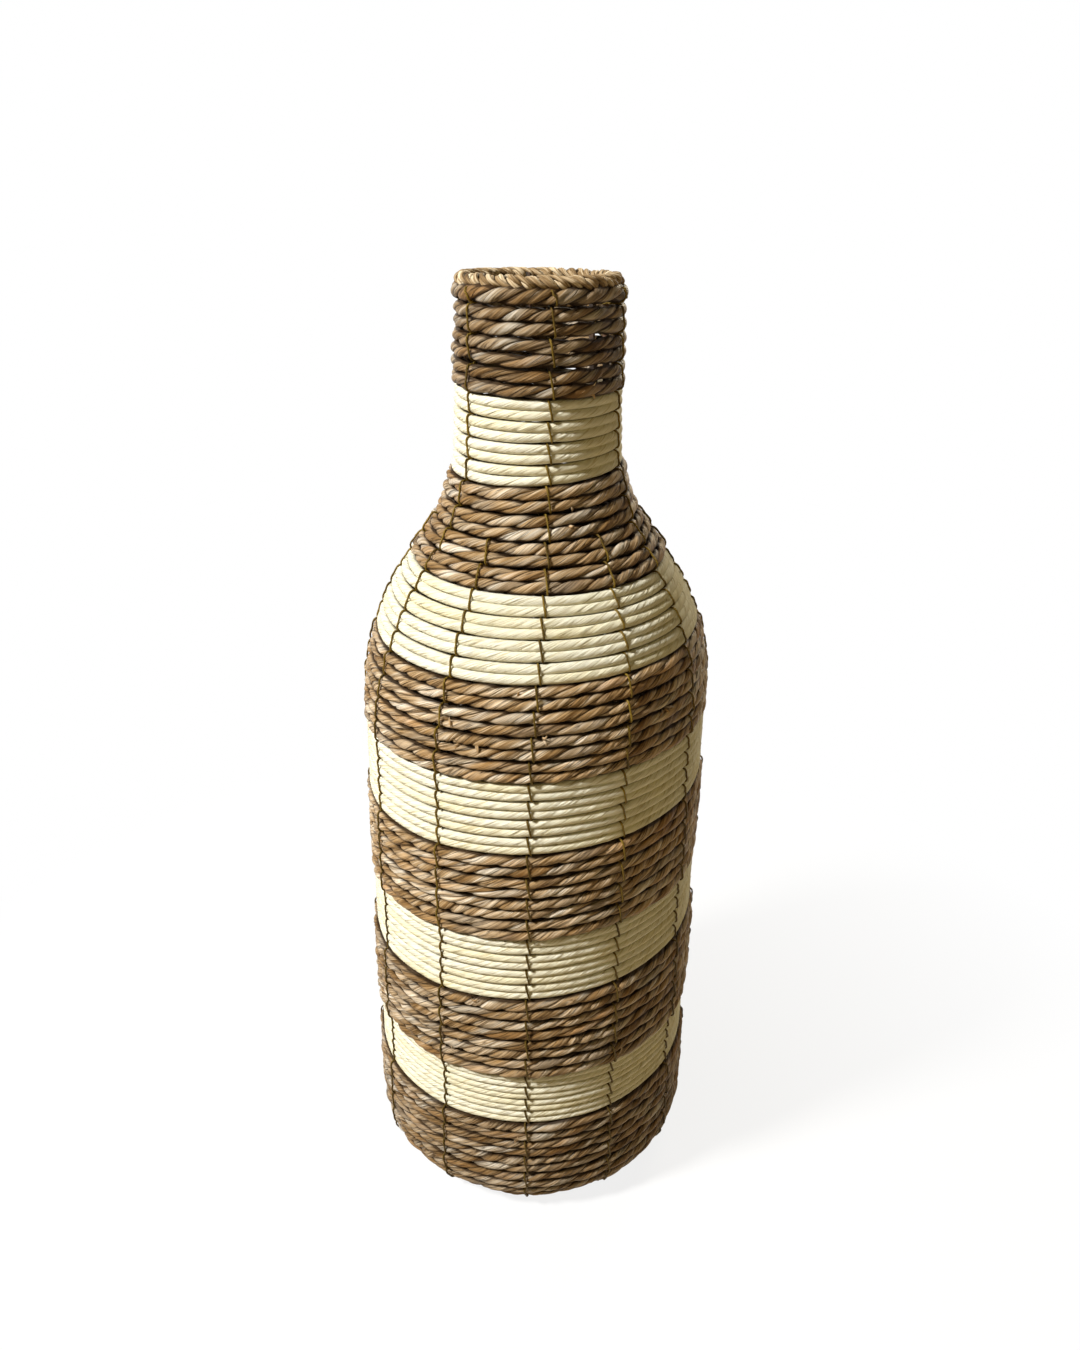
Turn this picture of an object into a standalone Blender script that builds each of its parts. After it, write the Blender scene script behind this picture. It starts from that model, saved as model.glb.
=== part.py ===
"""Woven bottle vase: a wire frame with bands of brown leaf rope and cream rope wound round it.

Ribs and hoops of wire make the frame. Each colour band is one rope that winds down outside the
ribs, and twelve binding threads lash its rows to the ribs. A fine lashing covers the rim.
Units are metres, +Z is up, the origin is the middle of the underside and the front faces -Y.
"""
import math

import bmesh
import bpy
import numpy as np

# Driving dimensions
overall_height = 0.597
rim_radius = 0.0430  # the brown rope's centre line, here and in the next radii
neck_radius = 0.0467
body_radius = 0.1046
foot_radius = 0.1078
neck_foot_share = 0.8375  # of the height, where the neck starts to open into the shoulder
shoulder_foot_share = 0.5662
rim_tilt_share = 0.058  # how steeply the rim falls from its front to its back
foot_bend = 0.0260

# Ropes, wire and thread
brown_rope = 0.0074
cream_rope = 0.0060
valley_share = 0.35  # how far out of the rope's middle the valley between two rows lies, of its radius
rib_wire = 0.0035
hoop_wire = 0.0035
thread = 0.0012
standing_flat = brown_rope / 10  # what is cut from the rope that the vase stands on
gap = 0.0003  # between pieces that touch
rib_gap = 0.0004  # between the ropes and the ribs, which both follow the wall's curve in short steps
wall_play = 0.00022  # how far those steps stray from the curve
thread_lift = 0.0005  # clears the crowns between two of a thread's points

# Rim lashing
rim_depth = 0.0065
rim_wall = 0.0013
lashing_fullness = 0.8  # the power that fills out its rounded top; 1 is a circle

# Bands, top to bottom: name, rope, rows, points round
neck_points, body_points, base_points, ring_points = 12, 24, 24, 24
half_row = 0.5
bands = (
    ("neck_brown_band", "brown", 7, neck_points),
    ("neck_cream_band", "cream", 8, neck_points),
    ("shoulder_brown_band", "brown", 8, neck_points),
    ("shoulder_cream_band", "cream", 8, body_points),
    ("body_brown_band_1", "brown", 8, body_points),
    ("body_cream_band_1", "cream", 8, body_points),
    ("body_brown_band_2", "brown", 8, body_points),
    ("body_cream_band_2", "cream", 8, body_points),
    ("body_brown_band_3", "brown", 8, body_points),
    ("body_cream_band_3", "cream", 8, body_points),
    ("foot_brown_band", "brown", 11, body_points),
)
base_rows = 14
# Lower edges of the first ten bands at the front, as shares of the height
band_edge_shares = (0.8985, 0.822, 0.736, 0.663, 0.569, 0.490, 0.3885, 0.312, 0.2055, 0.1375)
# How far those edges climb to the right, as shares of the way across
edge_climb_shares = (-0.014, 0.064, 0.0, 0.037, 0.048, 0.073, 0.067, 0.076, 0.032, 0.038)
# The shoulder's curve, as shares of its drop and of its growth in radius
shoulder_shares = ((0.087, 0.054), (0.211, 0.178), (0.363, 0.470), (0.501, 0.699), (0.636, 0.857), (0.819, 0.973))

# Columns of ribs: every second one runs up the neck
columns = 12
seam_column = -4  # where the ropes start and end, out of sight at the back
climb_share = 0.25  # of each turn, in which the rope drops by one row
# How far the columns turn about the axis, at shares of the height
column_turn_shares = ((0.0, -1.0), (0.58, -1.0), (0.65, 0.0), (0.73, 2.5), (0.82, 7.5), (1.0, 9.8))
degree = math.pi / 180

# Hoops, as shares of the height, and the rings in the base by radius
shoulder_hoop_share = 0.775
upper_hoop_share = 0.555
lower_hoop_share = 0.200
base_ring_radius = 0.0560
centre_ring_radius = 0.0160
ring_past_rib = 0.0040  # how far a rib runs past the ring that it is welded to

rope_radius = brown_rope / 2
base_centre_height = rope_radius - standing_flat
wall_top = overall_height - rim_depth - gap
neck_foot_height = neck_foot_share * overall_height
shoulder_foot_height = shoulder_foot_share * overall_height
path_step = 0.0005
same_place = path_step / 1000
mark_margin = 0.1  # of a row, between a wall's edge and the next point on it
colours = {
    "brown_rope": ((0.46, 0.31, 0.18, 1), 0.75, 0.0),
    "cream_rope": ((0.86, 0.79, 0.60, 1), 0.70, 0.0),
    "binding_thread": ((0.50, 0.33, 0.14, 1), 0.65, 0.0),
    "rim_lashing": ((0.66, 0.47, 0.23, 1), 0.65, 0.0),
    "painted_wire": ((0.10, 0.08, 0.07, 1), 0.55, 0.6),
}

for old in list(bpy.data.objects):
    bpy.data.objects.remove(old)
vase = bpy.data.collections.new("woven_vase")
bpy.context.scene.collection.children.link(vase)


def material(name):
    """Makes or finds the Principled material of this name."""
    found = bpy.data.materials.get(name)
    if found:
        return found
    made = bpy.data.materials.new(name)
    made.use_nodes = True
    shader = made.node_tree.nodes["Principled BSDF"]
    colour, roughness, metallic = colours[name]
    shader.inputs["Base Color"].default_value = colour
    shader.inputs["Roughness"].default_value = roughness
    shader.inputs["Metallic"].default_value = metallic
    made.diffuse_color = colour
    return made


# The wall's path: the brown rope's centre line from the rim, round the foot, to the base's middle
def wall_path():
    """Points (radius, height) along the path, close together."""
    top = (rim_radius, wall_top)
    neck = (neck_radius, neck_foot_height)
    drop, growth = neck_foot_height - shoulder_foot_height, body_radius - neck_radius
    shoulder = [(neck_radius + r * growth, neck_foot_height - z * drop) for z, r in shoulder_shares]
    body = (body_radius, shoulder_foot_height)
    foot = (foot_radius, base_centre_height + foot_bend)
    knots = np.array([top, neck, *shoulder, body, foot])
    curve = smooth_line(knots)
    centre = (foot_radius - foot_bend, base_centre_height + foot_bend)
    angles = np.linspace(0, math.pi / 2, 60)[1:]
    arc = [(centre[0] + foot_bend * math.cos(a), centre[1] - foot_bend * math.sin(a)) for a in angles]
    rough = np.array([*curve, *arc, (0, base_centre_height)])
    lengths = np.concatenate([[0], np.cumsum(np.linalg.norm(np.diff(rough, axis=0), axis=1))])
    along = np.linspace(0, lengths[-1], int(lengths[-1] / path_step) + 1)
    return along, np.stack([np.interp(along, lengths, rough[:, k]) for k in (0, 1)], axis=1)


def smooth_line(knots, between=16):
    """A curve through the knots, with each knot's direction set by its two neighbours."""
    gaps = np.linalg.norm(np.diff(knots, axis=0), axis=1)
    slopes = np.diff(knots, axis=0) / gaps[:, None]
    inner = (slopes[:-1] * gaps[1:, None] + slopes[1:] * gaps[:-1, None]) / (gaps[:-1] + gaps[1:])[:, None]
    tangents = np.array([slopes[0], *inner, slopes[-1]])
    tangents[1], tangents[-2] = slopes[0], slopes[-1]  # the neck's side and the body's are straight
    line = []
    for i, span in enumerate(gaps):
        for t in np.arange(between) / between:
            a, b = 2 * t**3 - 3 * t**2 + 1, t**3 - 2 * t**2 + t
            c, d = 3 * t**2 - 2 * t**3, t**3 - t**2
            line.append(a * knots[i] + b * span * tangents[i] + c * knots[i + 1] + d * span * tangents[i + 1])
    return [*line, knots[-1]]


path_lengths, path_points = wall_path()
path_end = path_lengths[-1]
directions = np.gradient(path_points, path_lengths, axis=0)
directions /= np.linalg.norm(directions, axis=1)[:, None]
foot_start = np.interp(-(base_centre_height + foot_bend), -path_points[:, 1], path_lengths)


def length_at_height(height):
    """How far down the wall's path this height lies."""
    return float(np.interp(-height, -path_points[:, 1], path_lengths))


def length_at_base_radius(radius):
    """How far along the path this radius lies, under the base."""
    return path_end - radius


edge_lengths = [0.0, *(length_at_height(share * overall_height) for share in band_edge_shares)]
foot_rows = bands[-1][2]
edge_lengths.append(edge_lengths[-1] + foot_rows * brown_rope)
edge_climbs = (0.0, *edge_climb_shares, 0.0)


def climb_at(length):
    """How steeply the rows climb to the right at this length of the path."""
    return float(np.interp(length, edge_lengths, edge_climbs))


def rim_fall(length, y):
    """How far down the path the rim's tilt moves a point at this y. It fades out over the first band."""
    left = min(max(1 - length / edge_lengths[1], 0.0), 1.0)
    return rim_tilt_share * left * (y + rim_radius)


def column_turn(length):
    """How far the columns have turned at this length of the path."""
    height = np.interp(length, path_lengths, path_points[:, 1]) / overall_height
    shares, turns = zip(*column_turn_shares)
    return float(np.interp(height, shares, turns)) * degree


def place(angle, length, out):
    """The point at this angle from the front, on the path's length, and out from the path.

    The angle is the column's own, before the columns turn about the axis.
    """
    turned = angle + column_turn(length)
    length = min(max(length, 0.0), path_end)
    radius = np.interp(length, path_lengths, path_points[:, 0])
    slid = length - climb_at(length) * radius * math.sin(turned)
    slid = min(max(slid + rim_fall(length, -(radius + out) * math.cos(turned)), 0.0), path_end)
    radius, height = (np.interp(slid, path_lengths, path_points[:, k]) for k in (0, 1))
    along_r, along_z = (np.interp(slid, path_lengths, directions[:, k]) for k in (0, 1))
    radius, height = radius - along_z * out, height + along_r * out
    return (radius * math.sin(turned), -radius * math.cos(turned), height)


def level_point(angle, length, out):
    """Like place, but on the wire frame, whose hoops lie level."""
    turned = angle + column_turn(length)
    radius, height = (np.interp(length, path_lengths, path_points[:, k]) for k in (0, 1))
    along_r, along_z = (np.interp(length, path_lengths, directions[:, k]) for k in (0, 1))
    radius, height = radius - along_z * out, height + along_r * out
    return (radius * math.sin(turned), -radius * math.cos(turned), height)


# Rows: a turn of rope is counted from the seam, and its middle's length along the path is looked up
row_starts = np.cumsum([0, *(band[2] for band in bands)])
base_pitch = (path_end - edge_lengths[-1]) / (base_rows - 1)
knot_rows = [*(row_starts + half_row), row_starts[-1] + half_row + 2 * base_rows]
knot_lengths = [*edge_lengths, edge_lengths[-1] + 2 * base_rows * base_pitch]
first_pitch = (edge_lengths[1] - edge_lengths[0]) / bands[0][2]


def row_length(row):
    """The path's length at this row, where whole rows are a turn apart."""
    if row < knot_rows[0]:
        return (row - knot_rows[0]) * first_pitch
    return float(np.interp(row, knot_rows, knot_lengths))


def climbed(share):
    """The share of one row that the rope has dropped, this share of a turn past the seam."""
    return min(1.0, share / climb_share)


def bend_marks(start, end, out, play):
    """Lengths between start and end where a line that follows the path, this far out, needs a point.

    Between two of them the straight line strays from the path by no more than play.
    """
    inside = path_lengths[(path_lengths > start) & (path_lengths < end)]
    line = np.array([start, *inside, end])
    points = np.array([level_point(0.0, length, out) for length in line])
    marks, first = [], 0
    for i in range(2, len(line)):
        chord = points[i] - points[first]
        reach = points[first + 1:i] - points[first]
        across = reach - np.outer(reach @ chord / (chord @ chord), chord)
        if np.linalg.norm(across, axis=1).max() > play:
            first = i - 1
            marks.append(float(line[first]))
    return marks


wall_marks = bend_marks(0.0, path_end, -rope_radius, wall_play)


def band_heights(rope):
    """How far out of the path a band's inner wall, valleys and crowns lie."""
    diameter = brown_rope if rope == "brown" else cream_rope
    middle = diameter / 2 - rope_radius
    return -rope_radius, middle + valley_share * diameter / 2, middle + diameter / 2


def row_profile(start_row, rope, flat_share):
    """(row, out) of a row's points from its upper valley down, without its lower valley."""
    inner, valley, crown = band_heights(rope)
    if not flat_share:
        return [(start_row - half_row, valley), (start_row, crown)]
    crown -= standing_flat
    flat = flat_share / 2
    return [(start_row - half_row, valley), (start_row - flat, crown), (start_row + flat, crown)]


def wound_band(name, rope, first_row, rows, points, level_start=False, level_end=False, flat_share=0.0):
    """One band: a rope's turns side by side on one helix, fused where they touch, in a plain inner wall.

    It starts and ends at the seam. A level start or end tapers the rope there to nothing.
    """
    inner, valley, crown = band_heights(rope)
    last_row = first_row + rows
    top_limit = first_row + half_row if level_start else None
    end_limit = last_row - half_row if level_end else None
    mesh, made = bmesh.new(), {}

    def vertex(angle, row, out, shift=0.0, slip=0.0):
        """A vertex on the band, moved shift along the path and slip round it."""
        if top_limit is not None and row < top_limit:
            row, out = top_limit, min(out, valley)
        if end_limit is not None and row > end_limit:
            row, out = end_limit, min(out, valley)
        length = row_length(row) + shift
        radius = max(np.interp(length, path_lengths, path_points[:, 0]), thread)
        return join(place(angle - slip / radius, length, out))

    def join(point):
        """The vertex at this point, made once."""
        key = tuple(round(c / same_place) for c in point)
        if key not in made:
            made[key] = mesh.verts.new(point)
        return made[key]

    def level_vertex(angle, length, out):
        """A vertex at the same place on the path as the wire frame's own points."""
        return join(level_point(angle, length, out))

    def face(corners):
        """A face on the corners that differ."""
        kept = [v for i, v in enumerate(corners) if v is not corners[i - 1]]
        if len(set(kept)) == len(kept) > 2 and not mesh.faces.get(kept):
            mesh.faces.new(kept)

    turns = [climbed(i / points) for i in range(points + 1)]
    angles = [(seam_column / columns - i / points) * 2 * math.pi for i in range(points + 1)]
    outer, walls = [], []
    for i, (angle, turn) in enumerate(zip(angles, turns)):
        last = i == points
        column = []
        for n in range(rows):
            for k, (row, out) in enumerate(row_profile(first_row + n + turn, rope, flat_share)):
                edge = n == 0 and k == 0 and not last and not level_start
                start = n == 0 and i == 0 and not level_start
                end = last and n == rows - 1 and k > 0 and not level_end
                slip = gap / 2 if start else -gap / 2 if end else 0.0
                column.append(vertex(angle, row, out, gap / 2 if edge else 0.0, slip))
        lower = last_row - half_row + turn
        slip = -gap / 2 if last and not level_end else 0.0
        column.append(vertex(angle, lower, valley, -gap / 2 if i and not level_end else 0.0, slip))
        outer.append(column)
        upper = first_row - half_row + turn
        if level_start:
            upper = top_limit
        slip = gap / 2 if i == 0 and not level_start else 0.0
        wall = [(upper, vertex(angle, upper, inner, 0.0 if last or level_start else gap / 2, slip))]
        if i == 0:
            wall.append((first_row + half_row, vertex(angle, first_row + half_row, inner)))
        floor = min(lower, last_row - half_row) if last or level_end else lower
        wall += [
            (row, level_vertex(angle, mark, inner))
            for row, mark in ((row_under(angle, mark), mark) for mark in wall_marks)
            if wall[-1][0] + mark_margin < row < floor - mark_margin
        ]
        if last:
            wall.append((last_row - half_row, vertex(angle, last_row - half_row, inner)))
        slip = -gap / 2 if last and not level_end else 0.0
        wall.append((lower, vertex(angle, lower, inner, -gap / 2 if i and not level_end else 0.0, slip)))
        walls.append(wall)

    for left, right in zip(outer, outer[1:]):
        for k in range(len(left) - 1):
            face([left[k], right[k], right[k + 1], left[k + 1]])
    for i, (left, right) in enumerate(zip(walls, walls[1:])):
        lace(face, left, right)
        face([outer[i][0], outer[i + 1][0], right[0][1], left[0][1]])
        face([outer[i][-1], outer[i + 1][-1], right[-1][1], left[-1][1]])
    turn_points = 3 if flat_share else 2
    if not level_start:
        face([*outer[0][: turn_points + 1], walls[0][1][1], walls[0][0][1]])
    if not level_end:
        face([*outer[-1][-turn_points - 1:], walls[-1][-1][1], walls[-1][-2][1]])

    bmesh.ops.recalc_face_normals(mesh, faces=mesh.faces)
    data = bpy.data.meshes.new(name)
    mesh.to_mesh(data)
    mesh.free()
    data.shade_smooth()
    add(name, data, rope + "_rope")


def row_at(length):
    """The row whose middle is at this length of the path."""
    return float(np.interp(length, knot_lengths, knot_rows))


def row_under(angle, length):
    """The row, counted on a level line, that lies at this angle on this length of the path."""
    turned = angle + column_turn(length)
    radius = np.interp(length, path_lengths, path_points[:, 0])
    fall = rim_fall(length, -radius * math.cos(turned))
    return row_at(length + climb_at(length) * radius * math.sin(turned) - fall)


def lace(face, left, right):
    """Triangles down the strip between two columns of (row, vertex), whose counts may differ."""
    i = j = 0
    while i < len(left) - 1 or j < len(right) - 1:
        take_left = j == len(right) - 1 or (i < len(left) - 1 and left[i + 1][0] <= right[j + 1][0])
        if take_left:
            face([left[i][1], left[i + 1][1], right[j][1]])
            i += 1
        else:
            face([left[i][1], right[j + 1][1], right[j][1]])
            j += 1


def add(name, data, finish):
    """Puts a new object with this mesh or curve, and its own material, in the vase."""
    made = bpy.data.objects.new(name, data)
    own = material(finish).copy()
    own.name = name
    data.materials.append(own)
    vase.objects.link(made)
    return made


def wire(name, points, diameter, finish, closed=False, sides=6):
    """A round wire through the points."""
    curve = bpy.data.curves.new(name, "CURVE")
    curve.dimensions = "3D"
    curve.bevel_depth = diameter / 2
    curve.bevel_resolution = (sides - 4) // 2
    curve.use_fill_caps = not closed
    spline = curve.splines.new("POLY")
    spline.points.add(len(points) - 1)
    for slot, point in zip(spline.points, points):
        slot.co = (*point, 1)
    spline.use_cyclic_u = closed
    return add(name, curve, finish)


rib_out = -(rope_radius + rib_gap + rib_wire / 2)
hoop_out = rib_out - rib_wire / 2 - gap - hoop_wire / 2
rim_hoop_out = rib_out + rib_wire / 2 + gap + hoop_wire / 2


def column_angle(column):
    """The angle of a column of ribs from the front."""
    return column * 2 * math.pi / columns


def hoop(name, length, out, rise=0.0, tilt=0.0, points=ring_points):
    """A ring of wire at this length of the path, with a corner at each column."""
    ring = [level_point(i * 2 * math.pi / points, length, out) for i in range(points)]
    ring = [(x, y, z + rise - tilt * (y + rim_radius)) for x, y, z in ring]
    wire(name, ring, hoop_wire, "painted_wire", closed=True)


def rib(name, column, start, end, rise=0.0, tilt=0.0):
    """One upright wire, from one length of the path to another."""
    marks = [start, *(mark for mark in wall_marks if start < mark < end), end]
    points = [level_point(column_angle(column), mark, rib_out) for mark in marks]
    x, y, z = points[0]
    points[0] = (x, y, z + rise - tilt * (y + rim_radius))
    wire(name, points, rib_wire, "painted_wire")


def binding_thread(name, column, first_band, first_turn, last_turn_from_end):
    """A thread that runs down a column over the rows' crowns, which it binds to the rib."""
    angle = column_angle(column)
    around = (seam_column - column) % columns / columns
    points = []
    for index in range(first_band, len(bands)):
        _, rope, rows, _ = bands[index]
        crown = band_heights(rope)[2]
        start = row_starts[index] + climbed(around) + (first_turn if index == first_band else 0)
        end = row_starts[index] + climbed(around) + rows - 1
        if around == 0:  # at the seam the brown rope's ends are thicker than the cream ones beside them
            start, end = (start, end + 1) if rope == "brown" else (start + 1, end)
        if index == len(bands) - 1:
            end -= last_turn_from_end
        marks = [row_length(start), row_length(end)]
        marks[1:1] = bend_marks(*marks, crown, thread_lift)
        points += [place(angle, mark, crown + gap + thread / 2 + thread_lift) for mark in marks]
    wire(name, points, thread, "binding_thread", sides=4)


def rim_lashing():
    """The lashing over the rim: a channel, open below, that holds the hoop and the tops of the ribs."""
    inside = rim_radius + rib_out - rib_wire / 2 - gap
    outside = rim_radius + rim_hoop_out + hoop_wire / 2 + gap
    foot, cavity_top = overall_height - rim_depth, overall_height - rim_wall
    shoulder = (outside - inside + 2 * rim_wall) / 4
    middle = (inside + outside) / 2
    half = (outside - inside) / 2 + rim_wall
    crown = []
    for k in range(1, 4):
        a = math.pi * k / 4
        crown.append((middle + half * math.cos(a), overall_height - shoulder * (1 - math.sin(a) ** lashing_fullness)))
    profile = [
        *reversed(crown),
        (outside + rim_wall, foot + rim_wall),
        (outside + rim_wall / 2, foot),
        (outside, foot + rim_wall / 2),
        (outside, cavity_top),
        (inside, cavity_top),
        (inside, foot + rim_wall / 2),
        (inside - rim_wall / 2, foot),
        (inside - rim_wall, foot + rim_wall),
    ]
    mesh = bmesh.new()
    sections = []
    for i in range(ring_points):
        turned = i * 2 * math.pi / ring_points + column_turn(0.0)  # its corners stand over the rim hoop's
        places = [(r * math.sin(turned), -r * math.cos(turned), z) for r, z in profile]
        sections.append([mesh.verts.new((x, y, z - rim_tilt_share * (y + rim_radius))) for x, y, z in places])
    for i, section in enumerate(sections):
        for k in range(len(profile)):
            mesh.faces.new((sections[i - 1][k - 1], section[k - 1], section[k], sections[i - 1][k]))
    bmesh.ops.recalc_face_normals(mesh, faces=mesh.faces)
    data = bpy.data.meshes.new("rim_lashing")
    mesh.to_mesh(data)
    mesh.free()
    data.shade_smooth()
    add("rim_lashing", data, "rim_lashing")


def build_frame():
    """The wire frame: hoops, ribs and the two rings in the base."""
    cavity_top = overall_height - rim_wall
    hoop_height = cavity_top - gap - hoop_wire / 2 - gap
    hoop("rim_hoop", 0.0, rim_hoop_out, rise=hoop_height - wall_top, tilt=rim_tilt_share)
    for name, share in (
        ("shoulder_hoop", shoulder_hoop_share),
        ("upper_body_hoop", upper_hoop_share),
        ("lower_body_hoop", lower_hoop_share),
    ):
        hoop(name, length_at_height(share * overall_height), hoop_out)
    hoop("foot_hoop", foot_start, hoop_out)
    hoop("base_ring", length_at_base_radius(base_ring_radius), hoop_out)
    hoop("centre_ring", length_at_base_radius(centre_ring_radius), hoop_out, points=neck_points)
    rib_top_rise = cavity_top - 2 * gap - wall_top
    short_start = length_at_height(shoulder_hoop_share * overall_height) - ring_past_rib
    for number, column in enumerate(range(0, columns, 2), start=1):
        end = length_at_base_radius(centre_ring_radius) + ring_past_rib
        rib(f"long_rib_{number}", column, 0.0, end, rise=rib_top_rise, tilt=rim_tilt_share)
        end = length_at_base_radius(base_ring_radius) + ring_past_rib
        rib(f"short_rib_{number}", column + 1, short_start, end)


def build_ropes():
    """The bands of rope, the coil under the base, the rim's lashing and the binding threads."""
    for index, (name, rope, rows, points) in enumerate(bands):
        wound_band(name, rope, int(row_starts[index]), rows, points, level_start=index == 0)
    half_flat = math.sqrt(rope_radius**2 - (rope_radius - standing_flat) ** 2)
    first = int(row_starts[-1])
    wound_band(
        "base_coil", "brown", first, base_rows, base_points, level_end=True, flat_share=2 * half_flat / base_pitch
    )
    rim_lashing()
    for number, column in enumerate(range(0, columns, 2), start=1):
        binding_thread(f"long_thread_{number}", column, 0, 0, 2)
        binding_thread(f"short_thread_{number}", column + 1, 2, 4, 2)


build_frame()
build_ropes()
print(f"{len(vase.objects)} pieces, base pitch {base_pitch * 1000:.2f} mm, path {path_end * 1000:.1f} mm")
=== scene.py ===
# Woven bottle vase: the ropes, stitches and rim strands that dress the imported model.
import math
from collections import namedtuple

import bpy
import numpy as np
from mathutils import Matrix, Vector


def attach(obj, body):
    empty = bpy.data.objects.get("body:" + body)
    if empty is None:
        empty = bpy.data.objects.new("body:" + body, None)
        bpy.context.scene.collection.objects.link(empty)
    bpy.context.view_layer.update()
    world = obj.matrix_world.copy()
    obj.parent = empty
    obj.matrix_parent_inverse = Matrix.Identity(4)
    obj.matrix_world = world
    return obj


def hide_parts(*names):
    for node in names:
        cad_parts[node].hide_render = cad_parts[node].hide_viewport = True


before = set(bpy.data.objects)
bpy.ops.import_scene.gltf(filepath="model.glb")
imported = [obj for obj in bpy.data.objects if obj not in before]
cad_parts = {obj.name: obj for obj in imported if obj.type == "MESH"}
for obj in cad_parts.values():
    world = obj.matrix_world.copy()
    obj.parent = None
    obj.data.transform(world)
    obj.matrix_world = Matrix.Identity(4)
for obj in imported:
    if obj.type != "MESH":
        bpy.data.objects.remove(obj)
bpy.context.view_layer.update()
print("frame loaded:", len(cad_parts), "CAD nodes")

mm = 0.001
degree = math.pi / 180
fullTurn = 2 * math.pi
halfRow = 0.5

# The wall's path and the rows on it, with the same sizes as the CAD model
wall = {
    "height": 0.597,
    "rimRadius": 0.0430,
    "neckRadius": 0.0467,
    "bodyRadius": 0.1046,
    "footRadius": 0.1078,
    "neckFootShare": 0.8375,
    "shoulderFootShare": 0.5662,
    "rimTilt": 0.058,  # how steeply the rim falls from its front to its back
    "footBend": 0.0260,
    "brownRope": 0.0074,
    "pressedShare": 0.1,  # of the rope's thickness, flat where the vase stands
    "rimDepth": 0.0068,
    # Down the shoulder: shares of its height and of how much it widens
    "shoulder": ((0.087, 0.054), (0.211, 0.178), (0.363, 0.470), (0.501, 0.699), (0.636, 0.857), (0.819, 0.973)),
    "bendPoints": 60,
    "pathPoints": 1401,
    "baseRows": 14,
    "columns": 12,
    "seamColumn": -4,
    "climbShare": 0.25,  # of each turn, in which the rope drops by one row
    # Share of the height, and how far the columns turn there, in degrees
    "turns": ((0.0, -1.0), (0.58, -1.0), (0.65, 0.0), (0.73, 2.5), (0.82, 7.5), (1.0, 9.8)),
    # Where the wound wall isn't true: share of the height, how far it stands to the right, and how far inward
    "settled": (
        (0.57, 0.0, 0.0), (0.62, 0.0008, 0.0004), (0.65, 0.0017, 0.0008), (0.68, 0.0017, 0.0006),
        (0.71, 0.0013, 0.0007), (0.73, 0.0012, 0.0013), (0.755, 0.0012, 0.0016), (0.78, 0.0006, 0.0011),
        (0.81, 0.0004, 0.0008), (0.84, 0.0, 0.0),
    ),
}

# Colour bands from the rim down: the lower edge's share of the height, its climb to the right, how dark the leaf is
Band = namedtuple("Band", "piece node rope rows edgeShare climb dark")
bands = (
    Band("neckBrownRope", "neck_brown_band", "leaf", 7, 0.8985, -0.014, 0.32),
    Band("neckCreamRope", "neck_cream_band", "husk", 8, 0.822, 0.064, 0.0),
    Band("shoulderBrownRope", "shoulder_brown_band", "leaf", 8, 0.736, 0.0, 0.08),
    Band("shoulderCreamRope", "shoulder_cream_band", "husk", 8, 0.663, 0.037, 0.0),
    Band("upperBrownRope", "body_brown_band_1", "leaf", 8, 0.569, 0.048, 0.0),
    Band("upperCreamRope", "body_cream_band_1", "husk", 8, 0.490, 0.073, 0.0),
    Band("middleBrownRope", "body_brown_band_2", "leaf", 8, 0.3885, 0.067, 0.0),
    Band("middleCreamRope", "body_cream_band_2", "husk", 8, 0.312, 0.076, 0.0),
    Band("lowerBrownRope", "body_brown_band_3", "leaf", 8, 0.2055, 0.032, 0.1),
    Band("lowerCreamRope", "body_cream_band_3", "husk", 8, 0.1375, 0.038, 0.0),
    Band("footBrownRope", "foot_brown_band", "leaf", 11, None, 0.0, 0.22),
)

ropeRadius = wall["brownRope"] / 2
baseHeight = ropeRadius - wall["pressedShare"] * wall["brownRope"]  # of the rope's middle on the floor
rimTop = wall["height"] - wall["rimDepth"]


def lengthsAlong(points):
    # How far along the line each of its points lies
    return np.concatenate([[0], np.cumsum(np.linalg.norm(np.diff(points, axis=0), axis=1))])


def unit(vectors):
    return vectors / np.linalg.norm(vectors, axis=1)[:, None]


def smoothLine(knots, between=16):
    # A curve through the knots, straight at both ends as the neck's side and the body's are
    steps = np.diff(knots, axis=0)
    spans = np.linalg.norm(steps, axis=1)
    slopes = steps / spans[:, None]
    inner = (slopes[:-1] * spans[1:, None] + slopes[1:] * spans[:-1, None]) / (spans[:-1] + spans[1:])[:, None]
    tangents = np.array([slopes[0], *inner, slopes[-1]])
    tangents[1], tangents[-2] = slopes[0], slopes[-1]
    line = []
    for i, span in enumerate(spans):
        for t in np.arange(between) / between:
            line.append(
                (2 * t**3 - 3 * t**2 + 1) * knots[i]
                + (t**3 - 2 * t**2 + t) * span * tangents[i]
                + (3 * t**2 - 2 * t**3) * knots[i + 1]
                + (t**3 - t**2) * span * tangents[i + 1]
            )
    return [*line, knots[-1]]


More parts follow.
